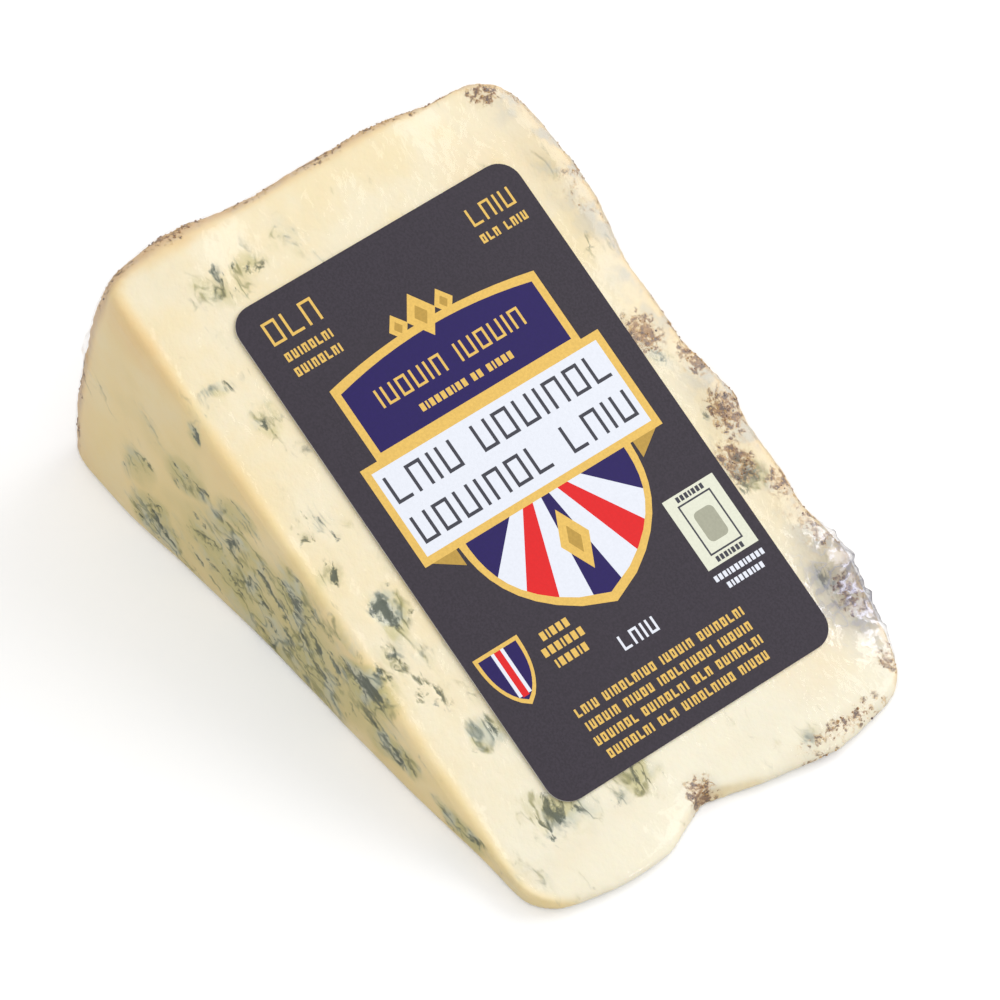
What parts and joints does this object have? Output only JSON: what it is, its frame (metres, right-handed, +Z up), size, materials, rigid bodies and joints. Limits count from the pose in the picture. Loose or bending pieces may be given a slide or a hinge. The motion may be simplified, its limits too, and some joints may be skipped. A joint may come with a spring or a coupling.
{
  "type": "blue cheese wedge",
  "caption": "Wedge of blue cheese sealed in clear film, lying on one cut face with a printed label on the sloping cut face.",
  "frame": {"origin": "middle of the bounding box at the level of the base, the cut face that the wedge lies on", "axes": "+Z up, +X from the rind towards the thin end, +Y from the cut side towards the crust side"},
  "size_m": [0.1042, 0.0682, 0.0428],
  "materials": {
    "wrapped_cheese": "cream cheese with blue veins under clear gloss film",
    "label_paper": "satin charcoal print with gold, navy, white and red fields"
  },
  "bodies": {
    "root": {"wrapped_wedge": "wrapped_cheese", "label": "label_paper"}
  },
  "joints": []
}
